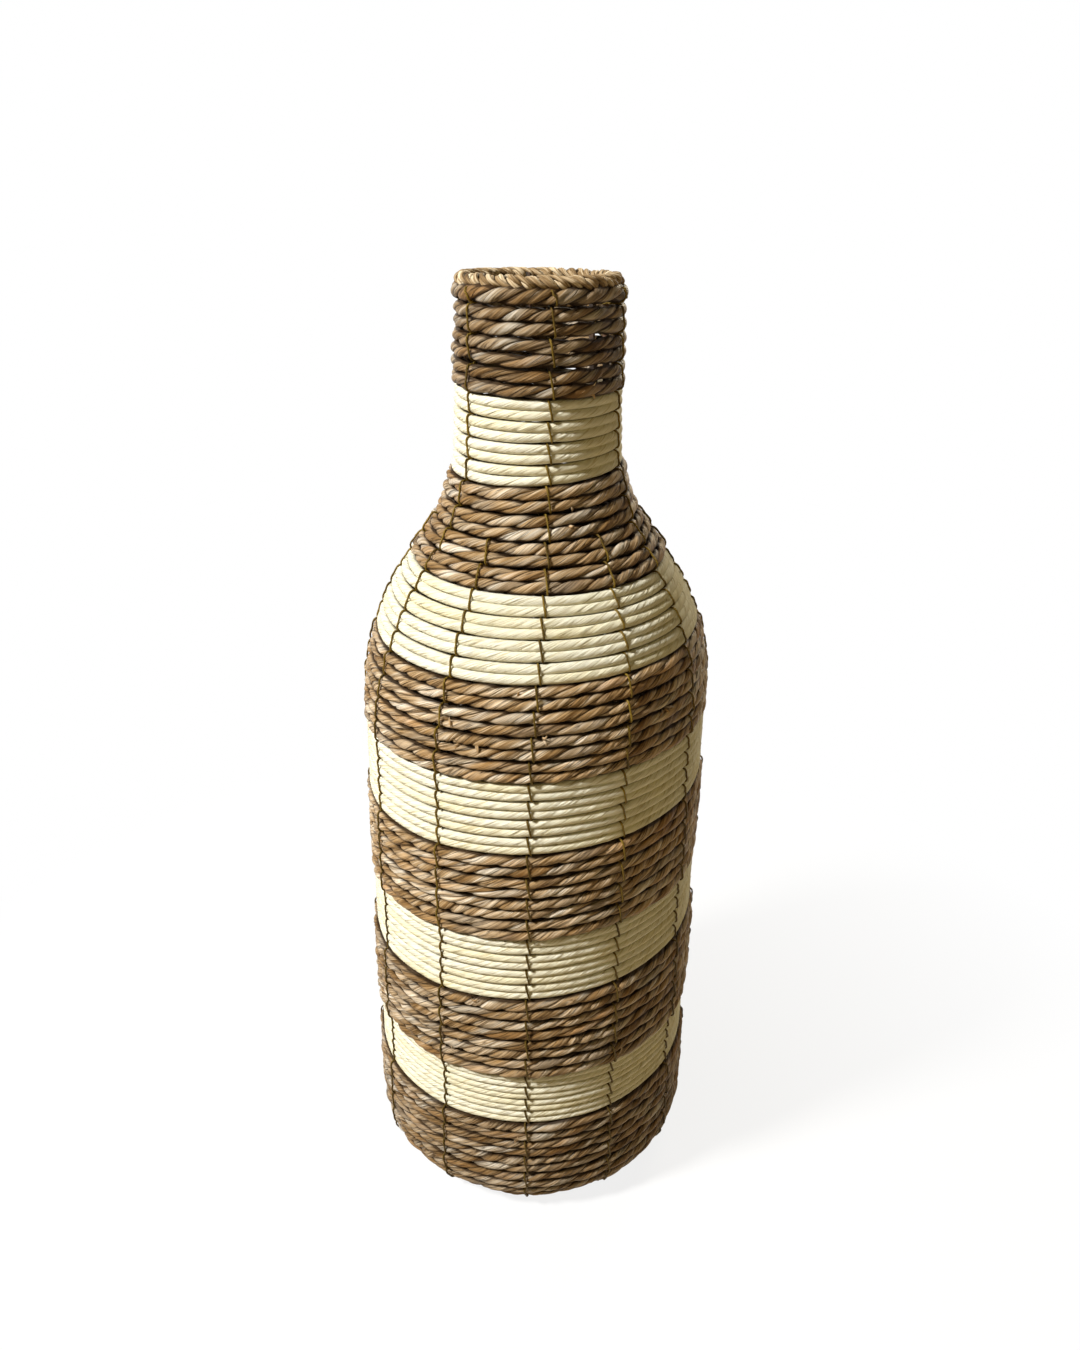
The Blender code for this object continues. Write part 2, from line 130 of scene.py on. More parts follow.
def wallPath():
    # Lengths down the wall, from the rim to the middle of the base, and the radius and height there
    neckFoot = wall["neckFootShare"] * wall["height"]
    shoulderFoot = wall["shoulderFootShare"] * wall["height"]
    drop, growth = neckFoot - shoulderFoot, wall["bodyRadius"] - wall["neckRadius"]
    bend, footRadius = wall["footBend"], wall["footRadius"]
    knots = [(wall["rimRadius"], rimTop), (wall["neckRadius"], neckFoot)]
    knots += [(wall["neckRadius"] + r * growth, neckFoot - z * drop) for z, r in wall["shoulder"]]
    knots += [(wall["bodyRadius"], shoulderFoot), (footRadius, baseHeight + bend)]
    angles = np.linspace(0, math.pi / 2, wall["bendPoints"])[1:]
    arc = [(footRadius - bend + bend * math.cos(a), baseHeight + bend - bend * math.sin(a)) for a in angles]
    rough = np.array([*smoothLine(np.array(knots)), *arc, (0, baseHeight)])
    lengths = lengthsAlong(rough)
    along = np.linspace(0, lengths[-1], wall["pathPoints"])
    return along, np.interp(along, lengths, rough[:, 0]), np.interp(along, lengths, rough[:, 1])


pathLength, pathRadius, pathHeight = wallPath()
pathEnd = pathLength[-1]
pathStep = np.stack([np.gradient(pathRadius, pathLength), np.gradient(pathHeight, pathLength)])
pathStep /= np.hypot(*pathStep)

rowStarts = np.cumsum([0, *(band.rows for band in bands)])
edgeLengths = [0.0, *(float(np.interp(-b.edgeShare * wall["height"], -pathHeight, pathLength)) for b in bands[:-1])]
edgeLengths.append(edgeLengths[-1] + bands[-1].rows * wall["brownRope"])
edgeClimbs = [0.0, *(band.climb for band in bands)]
basePitch = (pathEnd - edgeLengths[-1]) / (wall["baseRows"] - 1)
farRows = 2 * wall["baseRows"]  # past the middle of the base, so that the last row still has a pitch
knotRows = [*(rowStarts + halfRow), rowStarts[-1] + halfRow + farRows]
knotLengths = [*edgeLengths, edgeLengths[-1] + farRows * basePitch]


def rowLength(row):
    above = (row - halfRow) * edgeLengths[1] / bands[0].rows
    return np.where(row < knotRows[0], above, np.interp(row, knotRows, knotLengths))


def radiusAt(length):
    return np.interp(np.clip(length, 0, pathEnd), pathLength, pathRadius)


def columnTurn(length):
    shares, turns = zip(*wall["turns"])
    height = np.interp(length, pathLength, pathHeight) / wall["height"]
    return np.interp(height, shares, turns) * degree


def onWall(angle, length, out):
    # Angle from the front, length down the wall, and distance out from it, as points and their outward directions
    turned = angle + columnTurn(length)
    length = np.clip(length, 0, pathEnd)
    shares, aside, inward = zip(*wall["settled"])
    share = np.interp(length, pathLength, pathHeight) / wall["height"]
    out = out - np.interp(share, shares, inward)
    slid = length - np.interp(length, edgeLengths, edgeClimbs) * radiusAt(length) * np.sin(turned)
    fading = wall["rimTilt"] * np.clip(1 - length / edgeLengths[1], 0, 1)
    slid = slid + fading * (wall["rimRadius"] - (radiusAt(length) + out) * np.cos(turned))
    slid = np.clip(slid, 0, pathEnd)
    stepRadius, stepHeight = (np.interp(slid, pathLength, line) for line in pathStep)
    size = np.hypot(stepRadius, stepHeight)
    stepRadius, stepHeight = stepRadius / size, stepHeight / size
    radius = radiusAt(slid) - stepHeight * out
    height = np.interp(slid, pathLength, pathHeight) + stepRadius * out
    right = radius * np.sin(turned) + np.interp(share, shares, aside)
    points = np.stack([right, -radius * np.cos(turned), height], axis=-1)
    outward = np.stack([-stepHeight * np.sin(turned), stepHeight * np.cos(turned), stepRadius], axis=-1)
    return points, outward


waves = {"count": 4, "lengths": (0.5, 1.6), "quicker": 0.7, "smaller": 0.4, "size": 1.9}


def softNoise(x, seed):
    # A smooth random line between about -1 and 1 that changes over a few units of x
    chance = np.random.default_rng(seed)
    total = np.zeros_like(x, dtype=float)
    for k in range(waves["count"]):
        quick = chance.uniform(*waves["lengths"]) * (1 + waves["quicker"] * k)
        total += np.sin(x * quick + chance.uniform(0, fullTurn)) / (1 + waves["smaller"] * k)
    return total / waves["size"]


# Camera: the photograph's view, fitted to the outline and the bands
cameraView = {
    "place": (0.003, -0.6205, 0.6616),
    "down": 26.323,
    "roll": 0.735,
    "focalShare": 1100 / 1350,  # of the picture's height
    "sensor": 36.0,
    "nearest": 0.01,
}


def addCamera():
    down, roll = cameraView["down"] * degree, cameraView["roll"] * degree
    forward = Vector((0, math.cos(down), -math.sin(down)))
    level, above = Vector((1, 0, 0)), Vector((0, math.sin(down), math.cos(down)))
    right = level * math.cos(roll) + above * math.sin(roll)
    up = above * math.cos(roll) - level * math.sin(roll)
    data = bpy.data.cameras.new("camera")
    data.sensor_fit = "VERTICAL"
    data.sensor_height = cameraView["sensor"]
    data.lens = data.sensor_height * cameraView["focalShare"]
    data.clip_start = cameraView["nearest"]
    camera = bpy.data.objects.new("camera", data)
    camera.matrix_world = Matrix.Translation(cameraView["place"]) @ Matrix((right, up, -forward)).transposed().to_4x4()
    bpy.context.scene.collection.objects.link(camera)
    bpy.context.scene.camera = camera


class Nodes:
    # Short ways to add nodes to the tree of a world or a material
    def __init__(self, holder):
        holder.use_nodes = True
        self.tree = holder.node_tree

    def plug(self, value, socket):
        if isinstance(value, bpy.types.NodeSocket):
            self.tree.links.new(value, socket)
        else:
            socket.default_value = value

    def outputs(self, kind, inputs=(), **settings):
        made = self.tree.nodes.new("ShaderNode" + kind)
        for key, value in settings.items():
            setattr(made, key, value)
        for key, value in dict(inputs).items():
            self.plug(value, made.inputs[key])
        return made.outputs

    def node(self, kind, inputs=(), **settings):
        return self.outputs(kind, inputs, **settings)[0]

    def math(self, operation, a, b=0.0):
        return self.node("Math", {0: a, 1: b}, operation=operation)

    def times(self, a, b):
        return self.math("MULTIPLY", a, b)

    def spread(self, value, low, high, toLow=0.0, toHigh=1.0):
        ends = {"From Min": low, "From Max": high, "To Min": toLow, "To Max": toHigh}
        return self.node("MapRange", {"Value": value, **ends})

    def blend(self, share, a, b, mode="MIX"):
        made = self.tree.nodes.new("ShaderNodeMix")
        made.data_type, made.blend_type = "RGBA", mode
        self.plug(share, made.inputs["Factor"])
        for value, socket in ((a, made.inputs[6]), (b, made.inputs[7])):
            self.plug(value if isinstance(value, bpy.types.NodeSocket) else (*value, 1), socket)
        return made.outputs[2]

    def shownRays(self):
        # 1 for the rays that see the background
        path = self.outputs("LightPath")
        reflected = self.math("MAXIMUM", path["Is Glossy Ray"], path["Is Transmission Ray"])
        return self.math("MAXIMUM", path["Is Camera Ray"], reflected)


class Finish(Nodes):
    # A material being put together from the values in its look
    def __init__(self, name, look):
        self.material = bpy.data.materials.new(name)
        self.look = look
        super().__init__(self.material)
        self.shader = self.tree.nodes["Principled BSDF"]

    def attribute(self, name):
        return self.outputs("Attribute", attribute_name=name)["Fac"]

    def lengths(self):
        # Metres along the strand and round it, and the strand's own number
        place = self.outputs("SeparateXYZ", {0: self.node("UVMap", uv_map="strandLengths")})
        return place[0], place[1], self.attribute("strandNumber")

    def noise(self, x, y, z, detail, roughness):
        place = self.node("CombineXYZ", {0: x, 1: y, 2: z})
        return self.node("TexNoise", {"Vector": place, "Scale": 1.0, "Detail": detail, "Roughness": roughness})

    def pattern(self, name, along, across, number):
        # Noise that changes so many times a metre along the strand and across it, with its detail and roughness
        perAlong, perAcross, detail, roughness = self.look[name]
        return self.noise(self.times(along, perAlong), self.times(across, perAcross), number, detail, roughness)

    def patches(self, name, along, number):
        # Noise that changes along the strand alone
        perAlong, offset, detail = self.look[name]
        return self.noise(self.times(along, perAlong), 0.5, self.math("ADD", number, offset), detail, 0.5)

    def mixture(self, name, a, b):
        shareA, shareB = self.look[name]
        return self.math("ADD", self.times(a, shareA), self.times(b, shareB))

    def ramp(self, name, value):
        made = self.tree.nodes.new("ShaderNodeValToRGB")
        self.plug(value, made.inputs[0])
        elements = made.color_ramp.elements
        while len(elements) < len(self.look[name]):
            elements.new(0.5)
        for element, (place, colour) in zip(elements, self.look[name]):
            element.position, element.color = place, (*colour, 1)
        return made.outputs[0]

    def coat(self, name, colour, value):
        # A second colour, where the value is spread from nothing to its full share
        second, spread = self.look[name]
        return self.blend(self.spread(value, *spread), colour, second)

    def lined(self, colour, value):
        # The colour with lighter and darker lines over it
        share, spread = self.look["lines"]
        level = self.spread(value, *spread)
        return self.blend(share, colour, self.node("CombineColor", {0: level, 1: level, 2: level}), "MULTIPLY")

    def finished(self, colour, roughness, *heights):
        # The bumps have a distance and a strength each, and lie on each other
        inputs = {"Base Color": colour, "Roughness": roughness, "Specular IOR Level": self.look["specular"]}
        below = {}
        for height, (distance, strength) in zip(heights, self.look.get("bumps", ())):
            bump = {"Height": height, "Distance": distance, "Strength": strength, **below}
            below = {"Normal": self.node("Bump", bump)}
        for key, value in {**inputs, **below}.items():
            self.plug(value, self.shader.inputs[key])
        return self.material


# Studio: a strong key light from the upper left, little and warm light on the right, a white surround and a pale floor
studio = {
    "lamps": (
        ("keyLight", (-2.04, -1.00, 2.60), 0.50, 161.0, (1.0, 0.99, 0.965)),
        ("fillLight", (1.1, -1.7, 1.0), 1.2, 3.4, (1.0, 0.77, 0.30)),
        ("backLight", (1.00, 1.95, 1.3), 1.0, 27.0, (1.0, 0.88, 0.64)),
    ),
    "aim": (0.0, 0.0, 0.33),
    "surround": (0.066, 0.045, 0.018),
    "white": (1.0, 1.0, 1.0),
    "floor": {
        "half": 9.0,
        "colour": (0.36, 0.29, 0.19),  # as the vase sees it
        "picture": (0.94, 0.94, 0.94),
        "roughness": 0.9,
        "specular": 0.1,
        # How much of the picture is plain white, near the vase and away from it
        "white": (0.12, 0.55, 0.84, 1.0),
    },
}


def addStudio():
    for name, place, size, power, colour in studio["lamps"]:
        data = bpy.data.lights.new(name, "AREA")
        data.shape, data.size, data.energy, data.color = "DISK", size, power, colour
        lamp = bpy.data.objects.new(name, data)
        lamp.location = place
        lamp.rotation_euler = (Vector(studio["aim"]) - Vector(place)).to_track_quat("-Z", "Y").to_euler()
        bpy.context.scene.collection.objects.link(lamp)

    world = bpy.data.worlds.new("surround")
    bpy.context.scene.world = world
    nodes = Nodes(world)
    shown = nodes.blend(nodes.shownRays(), studio["surround"], studio["white"])
    nodes.plug(shown, nodes.tree.nodes["Background"].inputs["Color"])

    look = studio["floor"]
    half = look["half"]
    floor = bpy.data.objects.new("floor", bpy.data.meshes.new("floor"))
    floor.data.from_pydata([(-half, -half, 0), (half, -half, 0), (half, half, 0), (-half, half, 0)], [], [(0, 1, 2, 3)])
    bpy.context.scene.collection.objects.link(floor)
    finish = Finish("paleFloor", look)
    colour = finish.blend(finish.shownRays(), look["colour"], look["picture"])
    floor.data.materials.append(finish.finished(colour, look["roughness"]))
    place = finish.outputs("TexCoord")["Object"]
    away = finish.outputs("VectorMath", {0: place}, operation="LENGTH")["Value"]
    white = finish.times(finish.shownRays(), finish.spread(away, *look["white"]))
    mixed = finish.node("MixShader", {"Fac": white, 1: finish.shader.outputs[0], 2: finish.node("Emission")})
    finish.plug(mixed, finish.tree.nodes["Material Output"].inputs["Surface"])


addCamera()
addStudio()
bpy.context.scene.view_settings.view_transform = "Standard"
print("camera and studio ready")


# Materials
leafFinish = {
    "tones": (
        (0.34, (0.170, 0.083, 0.023)),
        (0.43, (0.360, 0.217, 0.088)),
        (0.50, (0.560, 0.393, 0.220)),
        (0.56, (0.740, 0.590, 0.410)),
        (0.63, (0.940, 0.850, 0.700)),
    ),
    # Coats: colour, and how it is spread
    "orange": ((0.500, 0.265, 0.090), (0.60, 0.74, 0.0, 0.60)),
    "grey": ((0.430, 0.360, 0.270), (0.44, 0.30, 0.0, 0.60)),
    # Painted shade: near-black along the thin crease lines
    "paintedCreaseShade": ((0.017, 0.0065, 0.002), (1.0, 0.0, 0.0, 0.75)),
    # Painted shade: near-black where the painted-shade attribute is high
    "paintedShadeAndToneCoat": ((0.017, 0.0065, 0.002), (0.0, 0.80, 0.0, 0.94)),
    "lines": (0.75, (0.30, 0.62, 0.62, 1.10)),
    "lay": 0.10,  # how steeply the fibres run across the ply
    "tone": (22, 60, 3.0, 0.6),
    "streak": (30, 900, 3.0, 0.6),
    "fibre": (60, 2600, 2.0, 0.6),
    "fold": (45, 340, 2.0, 0.5),
    "crease": (26, 430, 1.0, 0.5),
    "creaseOffset": 5.1,
    "creaseWidth": 0.030,
    "hue": (14, 31.7, 1.0),
    "toneShares": (0.65, 0.35),  # of the tone and the streaks
    "roughness": (0.3, 0.7, 0.40, 0.60),
    "specular": 0.16,
    "specularTint": (1.0, 0.76, 0.48, 1),
    "bumps": ((0.0014, 0.8), (0.0005, 0.9), (0.0006, 0.8), (0.00018, 0.8)),
}


def leafMaterial():
    finish = Finish("leafRope", leafFinish)
    along, girth, number = finish.lengths()
    slanted = finish.math("ADD", girth, finish.times(along, leafFinish["lay"]))
    tone = finish.pattern("tone", along, girth, number)
    streak = finish.pattern("streak", along, slanted, number)
    fibre = finish.pattern("fibre", along, slanted, number)
    fold = finish.pattern("fold", along, slanted, number)
    crease = finish.pattern("crease", along, slanted, finish.math("ADD", number, leafFinish["creaseOffset"]))
    # The leaf is creased where the pattern crosses its middle: a bump, and painted shade along the crease
    beside = finish.math("ABSOLUTE", finish.math("SUBTRACT", crease, 0.5))
    beside = finish.spread(beside, 0.0, leafFinish["creaseWidth"])
    hue = finish.patches("hue", along, number)
    colour = finish.ramp("tones", finish.mixture("toneShares", tone, streak))
    colour = finish.coat("orange", colour, hue)
    colour = finish.coat("grey", colour, hue)
    colour = finish.lined(colour, fibre)
    colour = finish.coat("paintedCreaseShade", colour, beside)
    # Painted shade in the valleys, edges and folds, with the band's own darker tone
    colour = finish.coat("paintedShadeAndToneCoat", colour, finish.attribute("paintedShadeAndTone"))
    finish.plug(leafFinish["specularTint"], finish.shader.inputs["Specular Tint"])
    return finish.finished(colour, finish.spread(streak, *leafFinish["roughness"]), fold, beside, streak, fibre)


huskFinish = {
    "pale": (0.885, 0.865, 0.715),
    "warm": ((0.860, 0.805, 0.570), (0.42, 0.72)),
    # Painted shade: darker yellow in the wrinkles
    "paintedWrinkleShade": ((0.480, 0.385, 0.165), (0.50, 0.34, 0.0, 0.64)),
    # Painted shade: dark brown where the painted-shade attribute is high
    "paintedShadeAndToneCoat": ((0.060, 0.033, 0.005), (0.24, 0.52, 0.0, 0.85)),
    "lines": (0.7, (0.30, 0.62, 0.89, 1.04)),
    "lay": 0.53,  # how steeply the wrinkles run across the rope
    "broad": (35, 260, 2.0, 0.5),
    "wrinkle": (70, 1000, 3.0, 0.6),
    "fibre": (120, 3200, 2.0, 0.6),
    "patch": (18, 9.3, 2.0),
    "roughness": 0.62,
    "specular": 0.08,
    "bumps": ((0.0022, 0.8), (0.0010, 0.9), (0.00010, 0.7)),
}


def huskMaterial():
    finish = Finish("huskRope", huskFinish)
    along, girth, number = finish.lengths()
    across = finish.math("ADD", girth, finish.times(along, huskFinish["lay"]))
    broad = finish.pattern("broad", along, across, number)
    wrinkle = finish.pattern("wrinkle", along, across, number)
    fibre = finish.pattern("fibre", along, across, number)
    colour = finish.coat("warm", huskFinish["pale"], finish.patches("patch", along, number))
    # Painted shade in the wrinkles
    colour = finish.coat("paintedWrinkleShade", colour, wrinkle)
    colour = finish.lined(colour, fibre)
    # Painted shade on the strand's inner side
    colour = finish.coat("paintedShadeAndToneCoat", colour, finish.attribute("paintedShadeAndTone"))
    return finish.finished(colour, huskFinish["roughness"], broad, wrinkle, fibre)


threadFinish = {
    "light": (0.270, 0.176, 0.024),
    "patchy": ((0.080, 0.048, 0.006), (0.35, 0.65)),
    # Painted shade in the twist's grooves
    "paintedTwistShade": ((0.080, 0.048, 0.006), (0.2, -1.0, 0.0, 0.6)),
    "paintedLowerShade": ((0.080, 0.048, 0.006), (0.35, 1.05, 0.0, 0.80)),  # painted shade, darker with the thread's length from its top, as the lower stitches lie in shade
    "twist": (fullTurn / 0.0022, 4000),  # by the metre, along the thread and round it
    "patch": (60, 300, 2.0, 0.5),
    "roughness": 0.55,
    "specular": 0.16,
    "bumps": ((0.00012, 0.8),),
}


def threadMaterial():
    finish = Finish("bindingThread", threadFinish)
    along, girth, number = finish.lengths()
    twist = finish.math("SINE", finish.mixture("twist", along, girth))
    colour = finish.coat("patchy", threadFinish["light"], finish.pattern("patch", along, girth, number))
    # Painted shade in the twist's grooves
    colour = finish.coat("paintedTwistShade", colour, twist)
    # Painted shade, darker further down the thread
    colour = finish.coat("paintedLowerShade", colour, along)
    return finish.finished(colour, threadFinish["roughness"], twist)


rimFinish = {
    "tones": ((0.37, (0.080, 0.040, 0.012)), (0.49, (0.330, 0.218, 0.104)), (0.61, (0.830, 0.690, 0.470))),
    # Painted shade: near-black on the strands' inner side
    "paintedShadeAndToneCoat": ((0.022, 0.010, 0.003), (0.18, 0.68, 0.0, 0.88)),
    "streak": (55, 1300, 3.0, 0.6),
    "tone": (40, 120, 2.0, 0.5),
    "toneShares": (0.55, 0.45),  # of the tone and the streaks
    "roughness": 0.58,
    "specular": 0.12,
    "bumps": ((0.0004, 0.9),),
}


def rimMaterial():
    finish = Finish("rimStrand", rimFinish)
    along, girth, number = finish.lengths()
    streak = finish.pattern("streak", along, girth, number)
    tone = finish.pattern("tone", along, girth, number)
    colour = finish.ramp("tones", finish.mixture("toneShares", tone, streak))
    # Painted shade on the inner side of each ply
    colour = finish.coat("paintedShadeAndToneCoat", colour, finish.attribute("paintedShadeAndTone"))
    return finish.finished(colour, rimFinish["roughness"], streak)


wireFinish = {
    "paint": (0.060, 0.045, 0.036),
    "worn": ((0.170, 0.090, 0.050), (0.52, 0.66)),
    "patch": {"Scale": 160.0, "Detail": 4.0, "Roughness": 0.6},
    "grain": {"Scale": 1500.0, "Detail": 2.0},
    "roughness": (0.35, 0.70, 0.42, 0.80),
    "specular": 0.5,
    "bumps": ((0.00008, 0.6),),
}


def wireMaterial():
    finish = Finish("paintedWire", wireFinish)
    place = finish.outputs("TexCoord")["Object"]
    patch = finish.node("TexNoise", {"Vector": place, **wireFinish["patch"]})
    grain = finish.node("TexNoise", {"Vector": place, **wireFinish["grain"]})
    colour = finish.coat("worn", wireFinish["paint"], patch)
    return finish.finished(colour, finish.spread(patch, *wireFinish["roughness"]), grain)


leafRope = leafMaterial()
huskRope = huskMaterial()
bindingThread = threadMaterial()
rimStrand = rimMaterial()
paintedWire = wireMaterial()
print("materials ready")


# Strands: meshes made of rings of points
def strandFrames(points, outward, closed=False):
    # Directions out of the wall, and across the strand towards the rim
    step = unit(np.roll(points, -1, axis=0) - np.roll(points, 1, axis=0) if closed else np.gradient(points, axis=0))
    outward = unit(outward - (outward * step).sum(1)[:, None] * step)
    return outward, np.cross(step, outward)


def roundSides(sides, outward, across):
    # Angles round a strand, and where they point at each of its rings
    around = np.linspace(-math.pi, math.pi, sides, endpoint=False)
    out, aside = np.cos(around)[None, :, None], np.sin(around)[None, :, None]
    return around, out * outward[:, None, :] + aside * across[:, None, :]


def insideShade(around):
    # Painted shade: 1 on the side that faces the vase's inside
    return np.clip(0.5 - 0.5 * np.cos(around), 0, 1)


def lengthsRound(sides, whole):
    return np.linspace(0, 1, sides + 1) * whole


def quadUv(first, second, low, high):
    return np.stack([first, low, first, high, second, high, second, low], axis=1).reshape(-1, 2)


bakeSheet = {"margin": 0.03, "wideShare": 0.94, "longShare": 0.98, "capPlace": 0.99, "capSize": 0.0005}


def strandMesh(name, strands, material, replaced, closed=False):
    # Each strand is (rings of points, lengths along, lengths round, painted shade with a leaf band's own darker tone
    # added, number)
    corners, faces, caps, lengthsUv, bakeUv, paintedShadesAndTones, numbers = [], [], [], [], [], [], []
    # The bake's sheet has the strands end to end in lanes that lie side by side
    total = sum(strand[1][-1] for strand in strands)
    wide = max(strand[2][-1] for strand in strands)
    lanes = max(1, math.ceil(math.sqrt(total / wide)))
    laneLength = total / lanes
    base, begun = 0, 0.0
    for rings, along, girth, paintedShadeAndTone, number in strands:
        count, sides = rings.shape[:2]
        corners.append(rings.reshape(-1, 3))
        paintedShadesAndTones.append(np.broadcast_to(paintedShadeAndTone, (count, sides)).ravel())
        numbers.append(np.full(count * sides, number))
        i, j = np.indices((count if closed else count - 1, sides)).reshape(2, -1)
        following, beside = (i + 1) % count, (j + 1) % sides
        quads = [i * sides + j, i * sides + beside, following * sides + beside, following * sides + j]
        faces.append(base + np.stack(quads, axis=1))
        if not closed:
            caps.append([base + k for k in reversed(range(sides))])
            caps.append([base + (count - 1) * sides + k for k in range(sides)])
        step = along[-1] / max(1, count - 1)
        before, after = along[i], np.where(i + 1 < count, along[following], along[-1] + step)
        low, high = girth[j], girth[j + 1]
        lengthsUv.append(quadUv(before, after, low, high))
        lane = np.minimum(np.floor((begun + before) / laneLength), lanes - 1)
        ends = (((begun + end) / laneLength - lane) * bakeSheet["longShare"] for end in (before, after))
        edges = ((lane + bakeSheet["margin"] + bakeSheet["wideShare"] * way / wide) / lanes for way in (low, high))
        bakeUv.append(quadUv(*ends, *edges))
        base += count * sides
        begun += along[-1]
    data = bpy.data.meshes.new(name)
    data.from_pydata(np.concatenate(corners).tolist(), [], np.concatenate(faces).tolist() + caps)
    data.shade_smooth()
    turns = np.arange(sum(len(cap) for cap in caps))
    capUv = np.stack([np.cos(turns), np.sin(turns)], axis=1) * bakeSheet["capSize"] + bakeSheet["capPlace"]
    for layerName, values in (("strandLengths", [*lengthsUv, 0 * capUv]), ("OFBake", [*bakeUv, capUv])):
        layer = data.uv_layers.new(name=layerName, do_init=False)
        layer.uv.foreach_set("vector", np.concatenate(values).astype(np.float32).ravel())
    # Painted shade, with a leaf band's own darker tone added, is kept as a point attribute for the materials
    for attributeName, values in (("paintedShadeAndTone", paintedShadesAndTones), ("strandNumber", numbers)):
        attribute = data.attributes.new(attributeName, "FLOAT", "POINT")
        attribute.data.foreach_set("value", np.concatenate(values).astype(np.float32))
    data.materials.append(material)
    made = bpy.data.objects.new(name, data)
    bpy.context.scene.collection.objects.link(made)
    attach(made, "root")
    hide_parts(replaced)
    print(name, len(data.polygons), "faces")


# Ropes: one helix for each band, whose rows lie side by side
rowPlay = {
    "pairShift": 0.14 * mm,  # the two rows under one stitch lie closer
    "pinchShift": 0.30 * mm,  # and closer still at the stitch
    "pinchReach": 7.0 * mm,
    "press": 0.30 * mm,  # how far a stitch presses them in
    "pressReach": 4.0 * mm,
    "flat": 0.6 * mm,  # how much nearer the axis the rope lies halfway between two ribs
    "flatFrom": 30.0 * mm,  # the least radius of the wall where it does
    "leastRadius": 20.0 * mm,  # nearer the axis, turns are measured on this circle
    "shortStart": 27.0,  # the row where the short columns begin
    "reaches": (20.0 * mm, 30.0 * mm, 35.0 * mm),  # over which the rope's thickness and place change
    "startThin": 0.2,  # of the rope's thickness, at its start under the rim
    "topRow": 0.24,  # how much thicker the first row is, which carries the rim
    "topEnd": 1.2,  # in turns from the start
    "topFade": 0.2,
    "topLift": 0.8 * mm,
    "topInward": 0.9 * mm,
    # Angle in degrees and row, where light shows between two thin rows of the neck
    "gaps": (
        (47, 1.5), (34, 3.5), (-22, 4.5), (3, 5.5), (40, 6.5),
        (113, 2.5), (126, 4.5), (182, 6.5), (-63, 5.5), (-110, 2.5),
    ),
    "gapReach": 9.0,
    "gapRows": 0.9,
    "gapThin": 0.13,
    "countsPerRow": 160,
    "mostSteps": 2800,  # along one rope, which keeps each piece under 200,000 triangles
}
# Where there are two values, the first is for the neck's brown rope
ropeKinds = {
    "leaf": {
        "fill": (1.0, 1.015),
        "wander": (0.15 * mm, 0.24 * mm),
        "uneven": 0.060,
        "step": 1.6 * mm,
        "taper": 5.0 * mm,
        "seed": 5,
    },
    "husk": {
        "fill": (1.0, 1.0),
        "wander": (0.10 * mm, 0.10 * mm),
        "uneven": 0.022,
        "step": 2.6 * mm,
        "taper": 4.0 * mm,
        "seed": 60,
    },
}


def ropeSeed(index):
    return ropeKinds[bands[index].rope]["seed"] + 40 * index


def columnDistance(angle, row, radius):
    # Angle to the nearest column with a rib, the angle between such columns, and the distance round the wall
    short = row >= rowPlay["shortStart"]
    apart = np.where(short, 1, 2) * fullTurn / wall["columns"]
    places = angle / apart
    away = np.abs(places - np.round(places)) * apart
    return away, apart, away * radius


def ropeLine(kind, firstRow, turns, seed):
    # For each turn's count: angle, length down the wall, how far out its middle lies, and its radius
    play, part, climb = ropeKinds[kind], int(firstRow > 0), wall["climbShare"]
    whole = np.floor(turns)
    share = turns - whole
    climbed = np.minimum(1, share / climb)
    row = firstRow + whole + climbed
    thin = np.ones_like(turns)
    first = np.zeros_like(turns)
    if firstRow == 0:
        opening = np.clip(turns / climb, rowPlay["startThin"], 1)
        row = np.where(turns < climb, halfRow + opening / 2, row)
        first = np.clip(rowPlay["topEnd"] - turns, 0, rowPlay["topFade"]) / rowPlay["topFade"]
        thin = np.where(turns < climb, opening, thin) * (1 + rowPlay["topRow"] * first)
    angle = (wall["seamColumn"] / wall["columns"] - share) * fullTurn
    pitch = rowLength(row + halfRow) - rowLength(row - halfRow)
    length = rowLength(row)
    wallRadius = radiusAt(length)
    along = turns * fullTurn * np.maximum(wallRadius, rowPlay["leastRadius"])
    swell, wander, lift = (softNoise(along / reach, seed + k) for k, reach in enumerate(rowPlay["reaches"]))
    radius = pitch / 2 * play["fill"][part] * thin * (1 + play["uneven"] * swell)
    if firstRow == 0:
        for gapAngle, gapRow in rowPlay["gaps"]:
            near = np.exp(-2 * (1 - np.cos(angle - gapAngle * degree)) / (rowPlay["gapReach"] * degree) ** 2)
            thinner = rowPlay["gapThin"] * near * radius * (np.abs(row - gapRow) < rowPlay["gapRows"])
            radius = radius - thinner
            length = length + thinner * np.sign(row - gapRow)
    away, apart, distance = columnDistance(angle, row, wallRadius)
    pinch = np.exp(-((distance / rowPlay["pinchReach"]) ** 2))
    count = whole + (0 if firstRow else 1)  # the first row of the vase has a stitch of its own
    lower, before = np.mod(count, 2), np.mod(count - 1, 2)
    side = 1 - 2 * (before + (lower - before) * climbed)
    length = length + side * (rowPlay["pairShift"] + rowPlay["pinchShift"] * pinch)
    length = length + play["wander"][part] * wander
    length = length - rowPlay["topLift"] * first
    out = radius - ropeRadius + play["wander"][part] * lift
    out = out - rowPlay["topInward"] * first
    straight = np.cos(apart / 2) / np.cos(apart / 2 - away)
    out = out - rowPlay["flat"] * (1 - straight) / (1 - np.cos(apart / 2)) * (wallRadius > rowPlay["flatFrom"])
    out = out - rowPlay["press"] * np.exp(-((distance / rowPlay["pressReach"]) ** 2))
    return angle, length, out, radius


